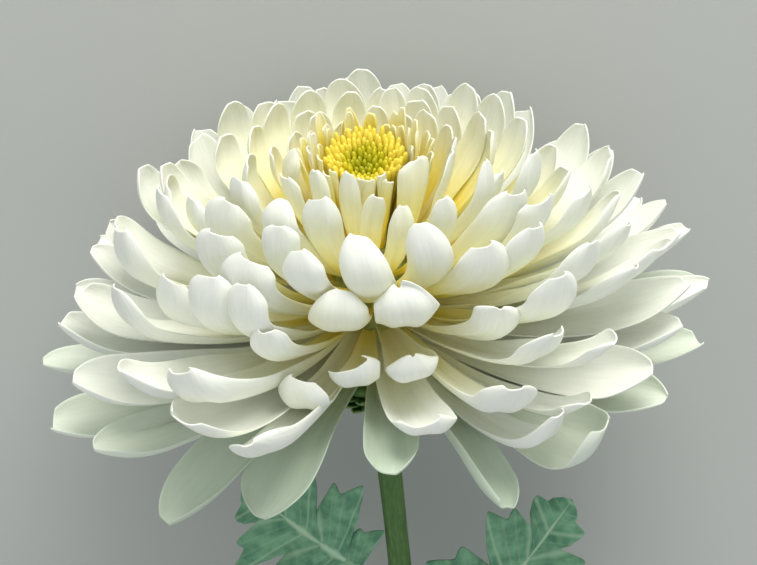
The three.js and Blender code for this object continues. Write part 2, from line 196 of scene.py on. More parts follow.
# The ranges that chance draws from. Reach, azimuth, height, point and twist are added to the whorl's, and
# width, cup and hood multiply it. The rest are a petal's own:
# - hood_start: where along it the tip's curl begins
# - fold: how deep its two long folds are, in mm
# - lean: how much more one side rolls up than the other
# - ruffle, waves and phase: how high its edges wave in mm, how many times, and where they start
# - sway and bow: how far its tip and its middle stand aside, in mm
# - slant: how much shorter one side is
PETAL_CHANCES = {
    "reach": (-1.5, 1.5), "azimuth": (-1, 1), "height": (-1, 1), "width": (0.92, 1.08), "cup": (0.85, 1.15),
    "hood": (0.75, 1.3), "hood_start": (0.64, 0.76), "point": (-0.12, 0.12), "fold": (0.2, 0.6),
    "lean": (-0.25, 0.25), "ruffle": (0.1, 0.4), "waves": (1.2, 2.6), "phase": (0, 1), "twist": (-10, 10),
    "sway": (-1.6, 1.6), "bow": (-1, 1), "slant": (-0.04, 0.04),
}
NOTCHES = (0, 0, 0, 0.2, 0.5)   # the depths in mm that the notch in a tip may have in front
LEAST_POINT = -0.2          # the bluntest that chance may make a tip

# What the measures are multiplied by at the back of the bloom and in front: of the height, only its chance
BACK_AND_FRONT = {"height": (2.2, 0.6), "width": (0.64, 1), "cup": (0.55, 1.05), "hood": (0.7, 1)}
SIDE_HOOD = 0.25            # how much flatter the tips are on the right, and more curled on the left
SIDE_POINT = 0.1            # how much more pointed they are on the right

# Each whorl, from the lowest up:
# - yellow and paling: how much further than usual its yellow feet reach, and how much less so in front and
#   more at the back, in mm
# - reach and height: its tips' distance from the axis and height along it
# - width: its petals' width, measured over their hollow
# - turn: how many degrees steeper than its run a petal ends, and flatter it starts
# - cup and hood: how many degrees its petals' sides roll up and their tips curl in
# - roll: how many degrees the petals at the sides are turned towards the front
# - point: 0 for a round tip and 1 for a pointed one
# - tone and grid: the painted shade that darkens its petals where they aren't white, and its sheets' squares
#   across and along
# - petals: the azimuth of each, and a reach and a height of its own where it has them
WHORLS = [
    {
        "name": "drooping_petal", "yellow": -14, "reach": 56, "height": -18, "width": 14.5, "turn": -14,
        "cup": 64, "hood": 12, "roll": 0, "point": 0, "tone": DEEP_SHADE,
        "petals": [(1, 44.5, -5), (28, 51, -13.5), (125,), (149,), (172,), (195,), (218,), (240,),
                   (315, 60, -13), (334, 51, -12)],
    },
    {
        "name": "outer_petal", "yellow": -14, "reach": 66, "height": -6, "width": 16.5, "turn": 5,
        "cup": 84, "hood": 16, "roll": -22, "point": 0.12, "tone": SHADED,
        "petals": [(50, 57, 0.5), (66, 60, -3), (84, 63, -4), (108, 67), (130, 61), (152, 60), (173, 60),
                   (193, 60), (212, 60), (232, 61), (251, 64), (265, 65.5), (284, 65.5), (298, 61)],
    },
    {
        "name": "rim_petal", "yellow": -12, "reach": 66, "height": 3, "width": 16.5, "turn": 12,
        "cup": 86, "hood": 22, "roll": -20, "point": 0.12,
        "petals": [(37, 55, 6.5), (62, 58, 3.5), (75, 60, 6), (92, 65), (107, 65, 8), (122, 64), (138,),
                   (157,), (176,), (195,), (214,), (234,), (252, 62), (270, 61, 6), (288, 61, 5)],
    },
    {
        "name": "petal_whorl_4", "yellow": -9, "reach": 62, "height": 12, "width": 16, "turn": 14,
        "cup": 84, "hood": 28, "roll": -8, "point": 0.1,
        "petals": [(11, 42, 5.5), (41, 57, 7), (48, 58, 17), (80, 61), (98, 60), (112,), (120, 62.6, 8),
                   (141, 60), (157,), (173,), (189,), (205,), (222, 64), (244, 57, 13.5), (256, 56, 13.7),
                   (269, 57, 12), (308, 59.5), (323, 61, 13), (338, 60, 10)],
    },
    {
        "name": "petal_whorl_5", "yellow": -5, "reach": 56, "height": 21, "width": 15.5, "turn": 16,
        "cup": 78, "hood": 42, "roll": 12, "point": 0.05,
        "petals": [(11, 34, 14), (29, 52, 13), (40, 52, 21), (69, 53, 22), (80, 57, 21.5),
                   (103, 54.5, 24.5), (119, 54), (131, 56, 20), (143, 54, 24), (165,), (184,), (202, 55),
                   (216, 56), (232, 51, 18), (257, 50, 21.6), (293, 52), (323, 58, 22), (338, 37, 11.5),
                   (352, 33.5, 14.5)],
    },
    {
        "name": "petal_whorl_6", "yellow": -1, "reach": 49, "height": 29, "width": 15, "turn": 16,
        "cup": 78, "hood": 52, "roll": 26, "point": 0.05,
        "petals": [(34, 40, 22.5), (46, 48), (61, 47), (75, 50), (92, 48, 25), (108,), (121, 49, 29.5),
                   (144, 49, 28.5), (157, 48), (170, 49), (183, 50), (197, 48, 29.5), (211, 49),
                   (224, 48.5, 26), (234, 45, 25.5), (246, 48.5, 27.5), (280, 47), (303, 44, 28),
                   (315, 43), (325, 43), (334, 43, 24)],
    },
    {
        "name": "petal_whorl_7", "yellow": 2, "reach": 41, "height": 35, "width": 14, "turn": 16,
        "cup": 76, "hood": 55, "roll": 28, "point": -0.05,
        "petals": [(9, 33, 29), (50, 40), (62, 37, 36.5), (78, 42), (98, 39, 30.5), (116, 41, 28),
                   (130, 39), (148, 41, 33.5), (162, 38), (177, 38), (192, 37), (206, 38),
                   (219, 41, 34.5), (246, 43, 29.5), (263, 38, 33), (276, 39), (310, 37), (323, 38),
                   (351, 33, 28.5)],
    },
    {
        "name": "petal_whorl_8", "yellow": 1, "reach": 33, "height": 39, "width": 13, "turn": 16,
        "cup": 74, "hood": 50, "roll": 26, "point": -0.1,
        "petals": [(17, 30, 39), (38, 36, 34.5), (55, 32), (80, 32), (97, 33.5, 33), (112,), (127,), (142,),
                   (157,), (171,), (186,), (201,), (217,), (237, 33, 34.5), (279, 33, 33.5),
                   (296, 29, 37.5), (328, 32, 39.5), (339, 36, 38), (359, 31)],
    },
    {
        "name": "petal_whorl_9", "yellow": 0, "reach": 25, "height": 41, "width": 11, "turn": 16,
        "cup": 72, "hood": 42, "roll": 16, "point": -0.1,
        "petals": [(15, 20, 37.7), (35,), (60,), (77, 26, 36.5), (100,), (119,), (136,), (153,), (170,),
                   (187,), (205,), (224,), (243, 24.5, 38.8), (260, 22, 38.4), (296,), (319, 24, 40),
                   (336, 23, 42)],
    },
    {
        "name": "petal_whorl_10", "yellow": 0, "reach": 18, "height": 41, "width": 8.5, "turn": 14,
        "cup": 60, "hood": 15, "roll": 0, "point": -0.1,
        "petals": [(2, 17, 39), (44, 13, 41.5), (72,), (93,), (113,), (133,), (153,), (173,), (193,),
                   (213,), (234,), (256,), (283, 13.5, 42.5), (303, 17), (322, 15, 42), (345, 12.5, 41.5)],
    },
    {
        "name": "petal_whorl_11", "yellow": 6, "reach": 10, "height": 38, "width": 4.4, "turn": 8,
        "cup": 95, "hood": 0, "roll": 0, "point": -0.1, "paling": 5, "grid": QUILL_GRID,
        "petals": [(step * 14.4 + 4 * (step % 2), (9, 10.8)[step % 2]) for step in range(25)]
                  + [(azimuth, 13) for azimuth in range(52, 280, 15)],
    },
]
SINGLE_WHORLS = 3           # the lowest whorls, whose petals are a piece each

# The petals that show best, by whorl and azimuth, with the measures that they don't share or leave to chance
FORMS = {
    ("drooping_petal", 1): {"cup": 75, "width": 12.5, "point": 0, "hood": 20, "sway": 0, "slant": 0.04},
    ("drooping_petal", 28): {
        "cup": 115, "width": 11.5, "hood": 20, "sway": -1, "azimuth": 27.5, "lean": -0.35, "twist": -6,
        "point": 0.1,
    },
    ("drooping_petal", 315): {"width": 15.5, "point": 0.2, "twist": 0},
    ("drooping_petal", 334): {"width": 16, "point": 0.1, "twist": 0},
    ("outer_petal", 50): {"hood": 75, "width": 17.5, "point": 0, "ruffle": 0.8, "azimuth": 47},
    ("rim_petal", 37): {"hood": 50, "width": 10, "cup": 115, "hood_start": 0.6, "turn": 22, "point": 0.2},
    ("petal_whorl_4", 11): {
        "cup": 66, "hood": 88, "width": 14, "hood_start": 0.78, "point": 0, "sway": 1, "slant": 0.08,
    },
    ("petal_whorl_4", 338): {"twist": 25, "width": 14, "hood": 30},
    ("petal_whorl_5", 11): {
        "cup": 95, "hood": 88, "width": 13.5, "hood_start": 0.72, "point": 0, "bow": 1, "slant": 0,
    },
    ("petal_whorl_5", 29): {"width": 14, "twist": -18, "hood": 50, "point": 0},
    ("petal_whorl_5", 338): {"hood": 95, "width": 12.5, "hood_start": 0.64, "point": 0.1, "twist": 6},
    ("petal_whorl_5", 352): {
        "cup": 62, "hood": 88, "width": 15.5, "hood_start": 0.66, "point": 0, "twist": 8, "slant": 0.12,
    },
    ("petal_whorl_6", 34): {"width": 15, "twist": -38, "hood": 40, "point": 0.1, "sway": 0},
    ("petal_whorl_6", 334): {"width": 10, "hood": 45, "hood_start": 0.7, "twist": 30, "point": 0.1},
    ("petal_whorl_7", 9): {
        "cup": 60, "hood": 95, "width": 14, "hood_start": 0.7, "point": 0, "ruffle": 2, "notch": 1.2,
    },
    ("petal_whorl_7", 351): {"cup": 65, "hood": 95, "width": 13, "hood_start": 0.7, "point": 0, "notch": 0},
    ("petal_whorl_8", 17): {"width": 10.5, "point": 0, "hood": 60, "bow": 2.4, "sway": 0, "notch": 0},
    ("petal_whorl_8", 38): {"width": 13, "point": 0.1, "hood": 55, "twist": -30},
    ("petal_whorl_8", 339): {"width": 11, "point": 0.1, "notch": 0},
    ("petal_whorl_8", 359): {
        "cup": 92, "hood": 84, "width": 12, "point": 0, "hood_start": 0.62, "notch": 0, "sway": -2,
        "bow": 1.2, "twist": 0, "fold": 0.2, "ruffle": 0.1,
    },
    ("petal_whorl_9", 15): {"width": 6, "point": 0},
    ("petal_whorl_9", 35): {"width": 7, "point": 0},
    ("petal_whorl_9", 60): {"width": 6.5, "point": 0},
    ("petal_whorl_9", 319): {"width": 9, "hood": 80, "point": 0},
    ("petal_whorl_9", 336): {"width": 9.5, "point": 0},
    ("petal_whorl_10", 2): {"width": 5, "point": 0},
    ("petal_whorl_10", 44): {"width": 11, "point": 0, "notch": 0, "twist": 0, "bow": 0},
    ("petal_whorl_10", 283): {"width": 8.5, "point": 0, "hood": 50, "notch": 0},
    ("petal_whorl_10", 322): {"width": 6, "point": 0},
    ("petal_whorl_10", 345): {"width": 4.5, "point": 0, "sway": 0, "bow": 0},
}

# Camera: the photograph's size, the flower's scale and place in it, and where it is seen from
IMAGE_WIDTH = 757
IMAGE_HEIGHT = 565
PIXELS_PER_MM = 5.2
HEAD_PIXEL = (376, 330)     # where the middle of the head is in the photograph
VIEW_RISE = math.radians(30)    # how far above the plane of its petals
VIEW_ROLL = math.radians(3.5)
VIEW_DISTANCE = 800
SENSOR_WIDTH = 36

# Studio: each light's place seen from the head in m, its side in m, its power in W and its colour
FLOOR_SIDE = 6
LIGHTS = {
    "key_light": ((-0.2, -0.9, 0.3), 0.6, 9.5, "#fffbf4"),
    "fill_light": ((0.3, -0.3, 0.9), 0.9, 0.3, "#f4f7ff"),
}
STUDIO_COLOUR, STUDIO_STRENGTH = "#eef1f4", 0.74


def linear(code):
    """An sRGB hex colour as a linear one."""
    channels = [int(code[i:i + 2], 16) / 255 for i in (1, 3, 5)]
    return tuple(c / 12.92 if c <= 0.04045 else ((c + 0.055) / 1.055) ** 2.4 for c in channels)


class CHRYSANTHEMUM_PG_sizes(bpy.types.PropertyGroup):
    """Sizes a user would change."""

    petal_thickness: bpy.props.FloatProperty(
        name="Petal Thickness", description="Thickness of a petal's blade",
        default=0.00036, min=0.0002, unit="LENGTH",
    )
    vein_spacing: bpy.props.FloatProperty(
        name="Vein Spacing", description="Distance between the fine lengthwise veins of a petal",
        default=0.0007, min=0.0002, unit="LENGTH",
    )
    disc_floret_width: bpy.props.FloatProperty(
        name="Disc Floret Width", description="Width of one unopened floret of the disc",
        default=0.0012, min=0.0005, unit="LENGTH",
    )
    disc_floret_count: bpy.props.IntProperty(
        name="Disc Florets", description="Number of unopened florets in the disc", default=150, min=20,
    )


class CHRYSANTHEMUM_PG_colours(bpy.types.PropertyGroup):
    """Colours a user would change."""

    petal: bpy.props.FloatVectorProperty(
        name="Petal", description="Colour of the petals' outer half", subtype="COLOR",
        default=linear("#f5f8ed"), min=0, max=1,
    )
    petal_cream: bpy.props.FloatVectorProperty(
        name="Petal Cream", description="Colour of the petals' middle", subtype="COLOR",
        default=linear("#f3f5dd"), min=0, max=1,
    )
    petal_foot: bpy.props.FloatVectorProperty(
        name="Petal Foot", description="Colour of the petals where they are attached", subtype="COLOR",
        default=linear("#fae76a"), min=0, max=1,
    )
    disc: bpy.props.FloatVectorProperty(
        name="Disc", description="Colour of the unopened florets", subtype="COLOR",
        default=linear("#a3a413"), min=0, max=1,
    )
    leaf: bpy.props.FloatVectorProperty(
        name="Leaf", description="Colour of the leaves' upper side", subtype="COLOR",
        default=linear("#76a983"), min=0, max=1,
    )
    stem: bpy.props.FloatVectorProperty(
        name="Stem", description="Colour of the stem's skin", subtype="COLOR",
        default=linear("#557a3c"), min=0, max=1,
    )
    floor: bpy.props.FloatVectorProperty(
        name="Floor", description="Colour of the surface under the flower", subtype="COLOR",
        default=linear("#b4b7b3"), min=0, max=1,
    )


def find_shift():
    """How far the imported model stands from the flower's own frame, from the places of two of its nodes."""
    core_low, core_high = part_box("receptacle")
    stem_low, stem_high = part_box("stem")
    radius, height = STEM_PROFILE[-1]
    end_y = -height * math.cos(AXIS_RISE) + radius * math.sin(AXIS_RISE)
    end_z = HEAD_HEIGHT + height * math.sin(AXIS_RISE) - radius * math.cos(AXIS_RISE)
    return Vector((
        (core_low.x + core_high.x) / 2, stem_high.y - end_y * MM, stem_low.z - end_z * MM,
    ))


LYING = Matrix.Translation(find_shift()) @ Matrix.Scale(MM, 4) @ Matrix((
    (-1, 0, 0, 0),
    (0, -math.cos(AXIS_RISE), math.sin(AXIS_RISE), 0),
    (0, math.sin(AXIS_RISE), math.cos(AXIS_RISE), HEAD_HEIGHT),
    (0, 0, 0, 1),
))
# The same for a piece that is modelled with its axis along +Z
STANDING = LYING @ Matrix.Rotation(-math.pi / 2, 4, "X")


def off_axis(distance, aside, height, azimuth):
    """The point at a distance from the axis towards an azimuth, aside from there, and at a height."""
    return Vector((
        distance * math.sin(azimuth) + aside * math.cos(azimuth),
        height,
        distance * math.cos(azimuth) - aside * math.sin(azimuth),
    ))


def press(point):
    """Where the flower's weight moves a point of a petal, in the flower's frame."""
    y = -point.y * math.cos(AXIS_RISE) + point.z * math.sin(AXIS_RISE)
    z = point.y * math.sin(AXIS_RISE) + point.z * math.cos(AXIS_RISE) + HEAD_HEIGHT
    if z >= PRESS_BELOW:
        return point
    depth = PRESS_BELOW - PRESS_LIMIT
    height = PRESS_LIMIT + depth * math.exp((z - PRESS_BELOW) / depth)
    y += SPLAY_SHARE * (height - z) * math.tanh((y - SPLAY_CENTRE) / SPLAY_SOFTNESS)
    z = height - HEAD_HEIGHT
    return Vector((
        point.x,
        z * math.sin(AXIS_RISE) - y * math.cos(AXIS_RISE),
        z * math.cos(AXIS_RISE) + y * math.sin(AXIS_RISE),
    ))


def clear_selection():
    """Nothing is selected or active before an operator adds or changes a piece."""
    bpy.ops.object.select_all(action="DESELECT")
    bpy.context.view_layer.objects.active = None


def select_only(*objects):
    """Selects these objects and makes the first one active."""
    clear_selection()
    for each in objects:
        each.select_set(True)
    bpy.context.view_layer.objects.active = objects[0]


def face_outwards(piece):
    """Turns all the faces of a piece's closed surfaces outwards."""
    select_only(piece)
    bpy.ops.object.mode_set(mode="EDIT")
    bpy.ops.mesh.select_all(action="SELECT")
    bpy.ops.mesh.normals_make_consistent(inside=False)
    bpy.ops.object.mode_set(mode="OBJECT")


def apply_modifier(piece, kind, **settings):
    """Adds a modifier to the piece and applies it."""
    select_only(piece)
    modifier = piece.modifiers.new(kind, kind)
    for name, value in settings.items():
        setattr(modifier, name, value)
    bpy.ops.object.modifier_apply(modifier=modifier.name)


def copy_with_mesh(source):
    """A copy of an object with a mesh of its own."""
    copy = source.copy()
    copy.data = source.data.copy()
    bpy.context.scene.collection.objects.link(copy)
    return copy


def join_pieces(parts, name):
    """Joins objects into one named piece at the origin."""
    select_only(*parts)
    if len(parts) > 1:
        bpy.ops.object.join()
    piece = bpy.context.view_layer.objects.active
    piece.name = piece.data.name = name
    return piece


def finish_piece(piece, material, node):
    """Smooths the piece, gives it its finish and lets it stand for the node that it replaces."""
    select_only(piece)
    bpy.ops.object.shade_smooth()
    piece.data.materials.clear()
    piece.data.materials.append(material)
    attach(piece, BODY)
    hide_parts(node)


# Materials. Where a texture is laid out by the place on a piece, its scale is how often it repeats in a
# metre: 500 makes its patches 2 mm across.

def add_node(tree, kind, links=None, **settings):
    """Adds a shader node. Links are its inputs: values, sockets, or nodes whose first output feeds them."""
    node = tree.nodes.new(f"ShaderNode{kind}")
    for name, value in settings.items():
        setattr(node, name, value)
    for name, value in (links or {}).items():
        if isinstance(value, bpy.types.Node):
            value = value.outputs[0]
        if isinstance(value, bpy.types.NodeSocket):
            tree.links.new(value, node.inputs[name])
        else:
            node.inputs[name].default_value = value
    return node


def new_material(name, **values):
    """A material with a plain Principled shader, and its node tree and shader."""
    material = bpy.data.materials.new(name)
    material.use_nodes = True
    shader = material.node_tree.nodes["Principled BSDF"]
    for socket, value in values.items():
        shader.inputs[socket.replace("_", " ")].default_value = value
    return material, material.node_tree, shader


def rgba(colour):
    """A colour property as the four numbers that a socket takes."""
    return (*colour, 1)


def colour_ramp(tree, factor, *stops):
    """The colour that a ramp gives for a factor. Its stops are a position and a linear colour each."""
    ramp = add_node(tree, "ValToRGB", {"Fac": factor})
    elements = ramp.color_ramp.elements
    while len(elements) < len(stops):
        elements.new(1)
    for element, (position, colour) in zip(elements, stops):
        element.position = position
        element.color = rgba(colour)
    return ramp.outputs["Color"]


def pattern_places(tree):
    """What patterns are laid out by: the place on the piece, and its texture map, whole, across and along."""
    places = add_node(tree, "TexCoord")
    split = add_node(tree, "SeparateXYZ", {"Vector": places.outputs["UV"]})
    return places.outputs["Object"], places.outputs["UV"], split.outputs["X"], split.outputs["Y"]


def set_surface(tree, shader, colour, height=None, strength=0, depth=0, **settings):
    """Feeds the shader's colour and, where it has a strength, the relief that a height gives it."""
    tree.links.new(colour, shader.inputs["Base Color"])
    if strength:
        bump = add_node(tree, "Bump", {"Height": height, "Strength": strength, "Distance": depth}, **settings)
        tree.links.new(bump.outputs[0], shader.inputs["Normal"])


def textured_material(name, kind, inputs, stops, strength=0, depth=0, mapping=None, **values):
    """A material whose one texture sets its colour, through a ramp, and its relief."""
    material, tree, shader = new_material(name, **values)
    place = add_node(tree, "TexCoord").outputs["Object"]
    if mapping:
        place = add_node(tree, "Mapping", {"Vector": place, **mapping})
    texture = add_node(tree, kind, {"Vector": place, **inputs})
    set_surface(tree, shader, colour_ramp(tree, texture, *stops), texture, strength, depth)
    return material


def petal_material(name, tone):
    """Ray floret: a living white petal, satin and a little translucent. It is yellow near its foot, then
    cream with a breath of green, and fine veins run along it. The tone is painted shade: it darkens the
    petals that lie in the bloom's shade and underneath it.
    """
    sizes = bpy.context.scene.chrysanthemum_sizes
    colours = bpy.context.scene.chrysanthemum_colours
    material, tree, shader = new_material(
        name, Roughness=0.5, IOR=1.4, Subsurface_Weight=0.16, Subsurface_Scale=0.0015,
        Subsurface_Radius=(1.0, 0.95, 0.75),
    )
    place, uv, across, along = pattern_places(tree)

    # The yellow and the cream end a few millimetres sooner or later on each petal
    number = add_node(tree, "Math", {0: across}, operation="FLOOR")
    chance = add_node(tree, "TexWhiteNoise", {"W": number}, noise_dimensions="1D")
    blotches = add_node(tree, "TexNoise", {"Vector": place, "Scale": 150.0, "Detail": 3.0})
    spread = add_node(tree, "Math", {0: chance, 1: blotches}, operation="ADD")
    reached = add_node(tree, "Math", {0: spread, 1: 8.0, 2: along}, operation="MULTIPLY_ADD")
    part = add_node(tree, "MapRange", {
        "Value": reached, "From Min": 7.5, "From Max": 36.0, "To Min": 0.0, "To Max": 1.0,
    })
    colour = colour_ramp(
        tree, part, (0.1, tuple(colours.petal_foot)), (0.28, linear("#faf2ac")), (0.46, linear("#faf7d2")),
        (0.7, tuple(colours.petal_cream)), (0.95, tuple(colours.petal)),
    )

    # The veins are drawn about twice as wide as real ones, so that they show
    columns = PETAL_SPAN / sizes.vein_spacing
    stretched = add_node(tree, "Mapping", {"Vector": uv, "Scale": (columns, 0.12, 1.0)})
    veins = add_node(tree, "TexNoise", {"Vector": stretched, "Scale": 1.0, "Detail": 2.0})
    shade = add_node(tree, "MapRange", {
        "Value": veins, "From Min": 0.3, "From Max": 0.7, "To Min": 0.95, "To Max": 1.0,
    })
    veined = add_node(tree, "VectorMath", {0: colour, "Scale": shade}, operation="SCALE")
    # Painted shade: the tone darkens the petals in the bloom's shade and those underneath it
    toned = add_node(tree, "VectorMath", {0: veined, 1: linear(tone)}, operation="MULTIPLY")
    set_surface(tree, shader, toned.outputs[0], veins, 0.3, 0.0003)
    return material


def disc_material():
    """Disc floret: a waxy closed bud, green-yellow in the middle of the disc and golden at its edge."""
    colours = bpy.context.scene.chrysanthemum_colours
    material, tree, shader = new_material(
        "waxy_disc_bud", Roughness=0.4, IOR=1.45, Subsurface_Weight=0.25, Subsurface_Scale=0.0015,
        Subsurface_Radius=(1.0, 0.8, 0.2),
    )
    place, _, outward, up = pattern_places(tree)
    patches = add_node(tree, "TexNoise", {"Vector": place, "Scale": 320.0, "Detail": 2.0})
    ripeness = add_node(tree, "Math", {0: patches, 1: 0.5, 2: outward}, operation="MULTIPLY_ADD")
    colour = colour_ramp(
        tree, ripeness, (0.4, tuple(colours.disc)), (0.75, linear("#c4ba1c")), (1.0, linear("#e4d04c")),
    )
    # Painted shade: each bud is darker down towards its foot, where it stands among its neighbours, with a
    # touch of painted light at its top
    foot = add_node(tree, "MapRange", {
        "Value": up, "From Min": 0.45, "From Max": 0.95, "To Min": 0.55, "To Max": 1.05,
    })
    toned = add_node(tree, "VectorMath", {0: colour, "Scale": foot}, operation="SCALE")
    set_surface(tree, shader, toned.outputs[0])
    return material


def core_material():
    """Floret bed: the pale yellow-green flesh that the petals grow from, pitted where they are attached."""
    return textured_material(
        "fleshy_floret_bed", "TexVoronoi", {"Scale": 500.0},
        [(0.1, linear("#868f3c")), (0.7, linear("#bcc272"))], 0.5, 0.0004, Roughness=0.6, IOR=1.4,
    )


def leaf_material():
    """Chrysanthemum leaf: a soft, slightly downy blade, blue-green with paler veins that run to its lobes."""
    colours = bpy.context.scene.chrysanthemum_colours
    material, tree, shader = new_material(
        "downy_leaf_blade", Roughness=0.6, IOR=1.42, Subsurface_Weight=0.15, Subsurface_Scale=0.001,
        Sheen_Weight=0.15, Sheen_Roughness=0.5,
    )
    place, _, across, along = pattern_places(tree)
    from_rib = add_node(tree, "Math", {0: across, 1: 0.5}, operation="SUBTRACT")
    side = add_node(tree, "Math", {0: from_rib}, operation="ABSOLUTE")
    rib = add_node(tree, "MapRange", {
        "Value": side, "From Min": 0.01, "From Max": 0.04, "To Min": 1.0, "To Max": 0.0,
    })

    # Two side veins to a lobe, and finer ones between them
    wander = add_node(tree, "TexNoise", {"Vector": place, "Scale": 120.0, "Detail": 2.0})
    wandered = add_node(tree, "Math", {0: wander, 1: 0.02, 2: along}, operation="MULTIPLY_ADD")
    veins = rib
    for count, half_width, strength in ((LEAF_VEINS, 0.09, 0.6), (LEAF_VEINS * 3, 0.14, 0.2)):
        rows = add_node(tree, "Math", {0: wandered, 1: count, 2: 0.5}, operation="MULTIPLY_ADD")
        phase = add_node(tree, "Math", {0: rows}, operation="FRACT")
        centred = add_node(tree, "Math", {0: phase, 1: 0.5}, operation="SUBTRACT")
        distance = add_node(tree, "Math", {0: centred}, operation="ABSOLUTE")
        line = add_node(tree, "MapRange", {
            "Value": distance, "From Min": 0.0, "From Max": half_width, "To Min": strength, "To Max": 0.0,
        })
        veins = add_node(tree, "Math", {0: veins, 1: line}, operation="MAXIMUM")
    mottle = add_node(tree, "TexNoise", {"Vector": place, "Scale": 350.0, "Detail": 4.0})
    mixed = add_node(tree, "Mix", {
        "Factor": veins, "B": rgba(linear("#a9cba8")),
        "A": colour_ramp(tree, mottle, (0.35, linear("#4b8262")), (0.65, tuple(colours.leaf))),
    }, data_type="RGBA")
    height = add_node(tree, "Math", {0: mottle, 1: 0.4, 2: veins}, operation="MULTIPLY_ADD")
    set_surface(tree, shader, mixed.outputs["Result"], height, 0.5, 0.0004, invert=True)
    return material


def bract_material():
    """Bract: a firm green scale with brownish, papery patches."""
    return textured_material(
        "papery_edged_bract", "TexNoise", {"Scale": 400.0, "Detail": 4.0},
        [(0.35, linear("#476b35")), (0.6, linear("#6f8f4c")), (0.75, linear("#9a9468"))],
        0.4, 0.0003, Roughness=0.6, IOR=1.42,
    )


def pith_material():
    """Cut pith: pale, dry and spongy, with cells about half a millimetre across."""
    return textured_material(
        "spongy_pale_pith", "TexVoronoi", {"Scale": 2200.0},
        [(0.1, linear("#e9eccb")), (0.8, linear("#c3cf98"))], Roughness=0.85,
    )


def stem_material():
    """Green stem: a smooth skin over ribs, with fine lengthwise fibres."""
    colours = bpy.context.scene.chrysanthemum_colours
    return textured_material(
        "ribbed_green_stem", "TexNoise", {"Scale": 1.0, "Detail": 3.0},
        [(0.3, linear("#3f632d")), (0.7, tuple(colours.stem))], 0.4, 0.0003,
        mapping={"Rotation": (AXIS_RISE, 0.0, 0.0), "Scale": (1800.0, 60.0, 1800.0)},
        Roughness=0.5, IOR=1.42,
    )


# Petals

def core_radius(height):
    """Radius of the domed core at a height."""
    level = abs((height - CORE_MIDDLE) / (CORE_TOP - CORE_MIDDLE))
    return CORE_RADIUS * max(0, 1 - level ** CORE_POWER) ** (1 / CORE_POWER)


def smooth(value):
    """Eases a share from 0 to 1."""
    value = min(1, max(0, value))
    return value * value * (3 - 2 * value)


def dome_height(reach):
    """Height of the dome of petal tips at a distance from the axis."""
    rim = [(whorl["reach"], whorl["height"]) for whorl in reversed(WHORLS[SINGLE_WHORLS - 1:])]
    for (near, high), (far, low) in zip(rim, rim[1:]):
        if reach <= far:
            return high + (low - high) * max(0, reach - near) / (far - near)
    return rim[-1][1]


def heading_vector(heading):
    """The direction of a heading in a plane through the axis."""
    return Vector((math.cos(heading), math.sin(heading)))


def petal_line(form, level):
    """The line down the middle of a petal, in a plane through the axis, as a list of (place, heading)."""
    foot = Vector((core_radius(level) + GAP, level))
    tip = Vector((form["reach"], form["height"]))
    run = math.atan2(tip.y - foot.y, tip.x - foot.x)
    start = run - math.radians(form["turn"])
    end = run + math.radians(form["turn"])
    handle = (tip - foot).length * BEND_SHARE
    corners = (foot, foot + handle * heading_vector(start), tip - handle * heading_vector(end), tip)

    def bend(share):
        rest = 1 - share
        weights = (rest ** 3, 3 * rest ** 2 * share, 3 * rest * share ** 2, share ** 3)
        return sum((weight * corner for weight, corner in zip(weights, corners)), Vector((0, 0)))

    place = foot.copy()
    line = [(place.copy(), start)]
    for step in range(LINE_STEPS):
        piece = bend((step + 1) / LINE_STEPS) - bend(step / LINE_STEPS)
        curled = smooth((step / LINE_STEPS - form["hood_start"]) / (1 - form["hood_start"]))
        heading = math.atan2(piece.y, piece.x) + math.radians(form["hood"]) * curled
        place = place + piece.length * heading_vector(heading)
        line.append((place.copy(), heading))

    # The tip's curl moves it, so the whole line is turned and stretched to end where the tip should be
    ended, wanted = place - foot, tip - foot
    turned = math.atan2(wanted.y, wanted.x) - math.atan2(ended.y, ended.x)
    stretch = wanted.length / ended.length
    turn = Matrix.Rotation(turned, 2)
    return [(foot + stretch * (turn @ (place - foot)), heading + turned) for place, heading in line]


def line_point(line, along):
    """Place and heading on a petal's middle line."""
    at = min(max(along, 0), 1) * LINE_STEPS
    first = min(int(at), LINE_STEPS - 1)
    share = at - first
    place = line[first][0].lerp(line[first + 1][0], share)
    return place, line[first][1] * (1 - share) + line[first + 1][1] * share


def petal_half_width(form, along):
    """Half the width of a petal, measured over its hollow, at a part of its length."""
    widest = WIDEST - POINTED_SHIFT * form["point"]
    swell = math.sin(math.pi / 2 * min(1, along / widest))
    narrowing = max(0, (along - widest) / (TIP_END - widest))
    taper = (1 - narrowing ** TIP_POWER) ** (0.5 + POINTED_POWER * form["point"])
    return form["width"] / 2 * (BASE_WIDTH + (1 - BASE_WIDTH) * swell) * taper


def petal_section(half, curl, across):
    """How far aside and how far raised a point of a petal's hollow section is: a floor with rolled sides."""
    beyond = max(0, abs(across) - FLOOR_SHARE)
    radius = half * (1 - FLOOR_SHARE) / curl
    angle = curl * beyond / (1 - FLOOR_SHARE)
    aside = half * min(abs(across), FLOOR_SHARE) + radius * math.sin(angle)
    return math.copysign(aside, across), radius * (1 - math.cos(angle))


def petal_curl(form, across, share):
    """How far a petal's side rolls up at a part of its length, in radians. It leans to one side."""
    rolled = FOOT_ROLL - MIDDLE_ROLL * smooth(share / 0.4) + TIP_ROLL * smooth((share - 0.7) / 0.3)
    return math.radians(form["cup"]) * rolled * (1 + math.copysign(1, across) * form["lean"])


def petal_relief(form, across, share):
    """How far a petal's long folds sink it and its ruffled edge lifts it."""
    folds = math.exp(-((abs(across) - FOLD_AT) / FOLD_WIDTH) ** 2)
    folds *= smooth(share / 0.3) * smooth((1 - share) / 0.2)
    waves = math.sin(2 * math.pi * (form["waves"] * share + form["phase"] + 0.25 * across))
    return form["ruffle"] * waves * across ** 4 * smooth(share / 0.5) - form["fold"] * folds


